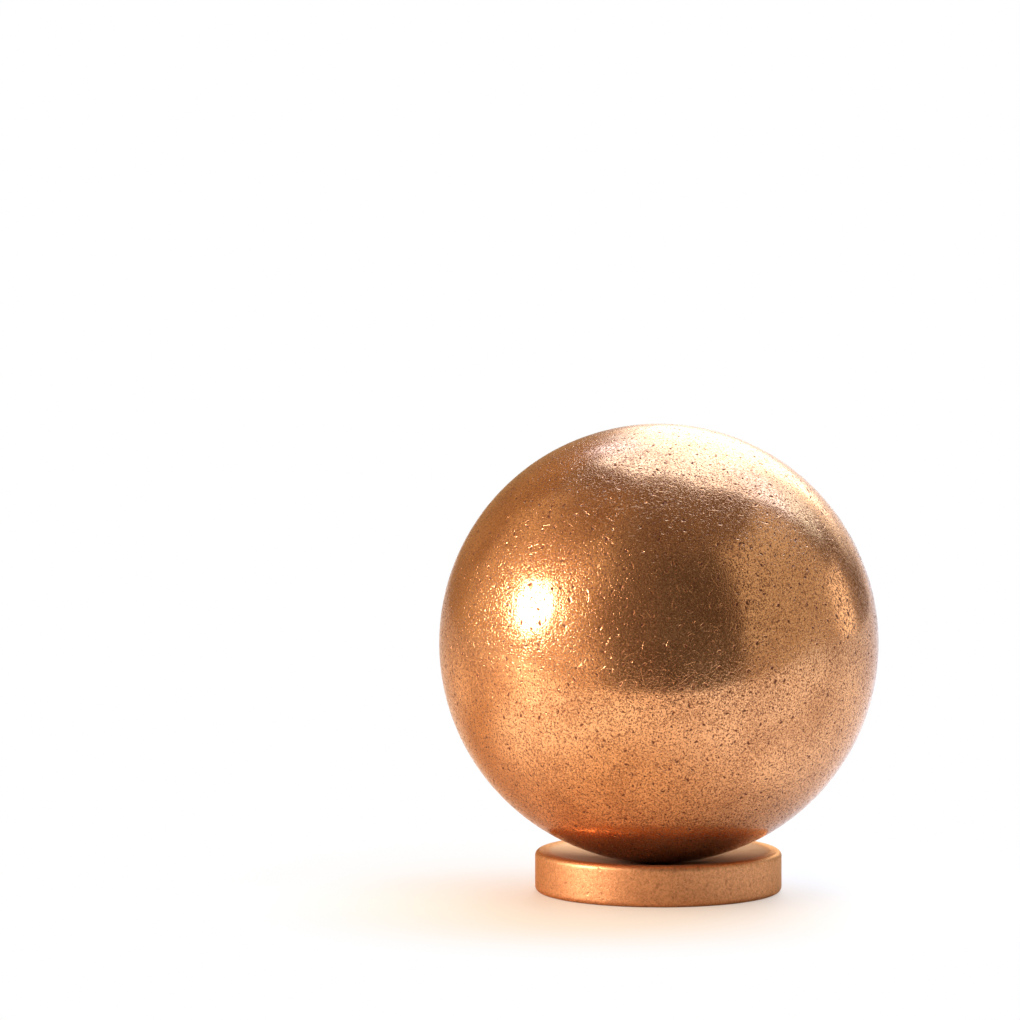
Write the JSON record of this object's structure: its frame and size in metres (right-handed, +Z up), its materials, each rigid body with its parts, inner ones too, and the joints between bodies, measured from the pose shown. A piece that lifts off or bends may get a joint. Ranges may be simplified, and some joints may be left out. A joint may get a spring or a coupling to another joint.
{
  "type": "copper sphere",
  "caption": "Solid copper ball with a tumbled finish, resting in the shallow dish of a low round copper stand.",
  "frame": {"origin": "centre of the stand's flat underside, on the surface that it stands on", "axes": "+Z up, along the common axis of the ball and the stand"},
  "size_m": [0.0508, 0.0508, 0.0542],
  "materials": {
    "tumbled_copper": "solid copper, tumbled: satin gloss with fine pits and short scratches, light brown patina",
    "tumbled_copper_stand": "solid copper, tumbled: satin with fine pits and softly rounded edges, light brown patina"
  },
  "bodies": {
    "root": {"ball": "tumbled_copper", "stand": "tumbled_copper_stand"}
  },
  "joints": []
}
